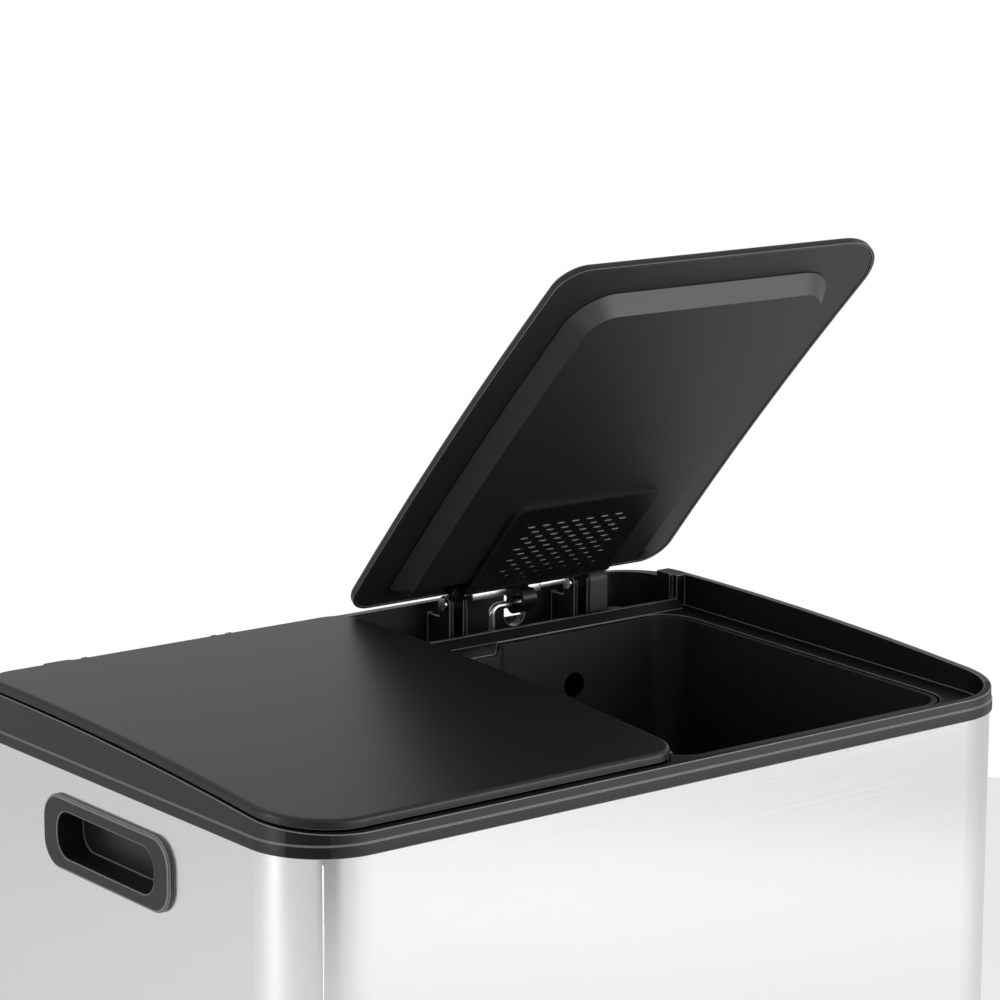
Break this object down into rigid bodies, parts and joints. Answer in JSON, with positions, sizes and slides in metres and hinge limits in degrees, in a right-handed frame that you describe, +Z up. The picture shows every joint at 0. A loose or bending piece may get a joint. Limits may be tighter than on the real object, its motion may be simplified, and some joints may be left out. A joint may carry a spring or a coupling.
{
  "type": "double pedal recycling bin",
  "caption": "Free-standing double pedal bin: steel wrap, black collar, hinged lids with lift rods and pedals, and inner buckets.",
  "frame": {"origin": "middle of the footprint, on the floor plane under the feet", "axes": "+X across the width towards the right compartment, +Y from the front to the back, +Z up"},
  "size_m": [0.486, 0.3729, 0.7524],
  "materials": {
    "brushed_steel": "fine horizontal brush, satin",
    "black_plastic": "fine matte texture",
    "bucket_plastic": "satin",
    "rubber": "matte",
    "filter_felt": "dark felt",
    "strip_steel": "satin",
    "pin_steel": "satin",
    "rod_steel": "drawn wire, satin",
    "bracket_steel": "zinc-dark paint",
    "screw_steel": "satin",
    "damper_grey": "satin"
  },
  "bodies": {
    "body": {"outer_shell": "brushed_steel", "base_tray": "black_plastic", "collar": "black_plastic", "foot_front_left": "rubber", "foot_front_right": "rubber", "foot_rear_left": "rubber", "foot_rear_right": "rubber", "foot_middle": "rubber", "pedal_screws": "screw_steel", "hinge_pins_left": "pin_steel", "hinge_pins_right": "pin_steel", "damper_left": "damper_grey", "damper_right": "damper_grey", "rod_guides_left": "black_plastic", "rod_guides_right": "black_plastic", "side_handle_left": "black_plastic", "side_handle_right": "black_plastic", "pedal_bracket_left": "bracket_steel", "pedal_bracket_right": "bracket_steel", "pedal_axle_left": "pin_steel", "pedal_axle_right": "pin_steel"},
    "lid_left": {"lid_shell_left": "black_plastic", "lid_liner_left": "black_plastic", "filter_frame_left": "black_plastic", "filter_cover_left": "black_plastic", "filter_pad_left": "filter_felt", "hinge_yoke_left": "black_plastic", "hinge_plate_left": "strip_steel", "yoke_screws_left": "screw_steel"},
    "rod_left": {"lift_rod_left": "rod_steel"},
    "pedal_left": {"pedal_lever_left": "bracket_steel", "pedal_pad_left": "rubber"},
    "inner_bucket_left": {"bucket_left": "bucket_plastic"},
    "lid_right": {"lid_shell_right": "black_plastic", "lid_liner_right": "black_plastic", "filter_frame_right": "black_plastic", "filter_cover_right": "black_plastic", "filter_pad_right": "filter_felt", "hinge_yoke_right": "black_plastic", "hinge_plate_right": "strip_steel", "yoke_screws_right": "screw_steel"},
    "rod_right": {"lift_rod_right": "rod_steel"},
    "pedal_right": {"pedal_lever_right": "bracket_steel", "pedal_pad_right": "rubber"},
    "inner_bucket_right": {"bucket_right": "bucket_plastic"}
  },
  "joints": [
    {"name": "lid_left_hinge", "type": "hinge", "parent": "body", "child": "lid_left", "pos_m": [-0.12825, 0.144, 0.525], "axis": [-1, 0, 0], "range_deg": [0, 75]},
    {"name": "rod_left_slide", "type": "slide", "parent": "body", "child": "rod_left", "axis": [0, 0, 1], "range_m": [0, 0.01762]},
    {"name": "pedal_left_pivot", "type": "hinge", "parent": "body", "child": "pedal_left", "pos_m": [-0.12, 0, 0.02], "axis": [1, 0, 0], "range_deg": [0, 7.77]},
    {"name": "bucket_left_lift", "type": "slide", "parent": "body", "child": "inner_bucket_left", "axis": [0, 0, 1], "range_m": [0, 0.006]},
    {"name": "lid_right_hinge", "type": "hinge", "parent": "body", "child": "lid_right", "pos_m": [0.12825, 0.144, 0.525], "axis": [-1, 0, 0], "range_deg": [-50, 25]},
    {"name": "rod_right_slide", "type": "slide", "parent": "body", "child": "rod_right", "axis": [0, 0, 1], "range_m": [-0.01175, 0.00588]},
    {"name": "pedal_right_pivot", "type": "hinge", "parent": "body", "child": "pedal_right", "pos_m": [0.12, 0, 0.02], "axis": [1, 0, 0], "range_deg": [-5.18, 2.59]},
    {"name": "bucket_right_lift", "type": "slide", "parent": "body", "child": "inner_bucket_right", "axis": [0, 0, 1], "range_m": [0, 0.006]}
  ],
  "couplings": [
    {"joint": "rod_left_slide", "follows": "lid_left_hinge", "m_per_rad": 0.013465},
    {"joint": "pedal_left_pivot", "follows": "lid_left_hinge", "ratio": 0.10357},
    {"joint": "rod_right_slide", "follows": "lid_right_hinge", "m_per_rad": 0.013465},
    {"joint": "pedal_right_pivot", "follows": "lid_right_hinge", "ratio": 0.10357}
  ]
}
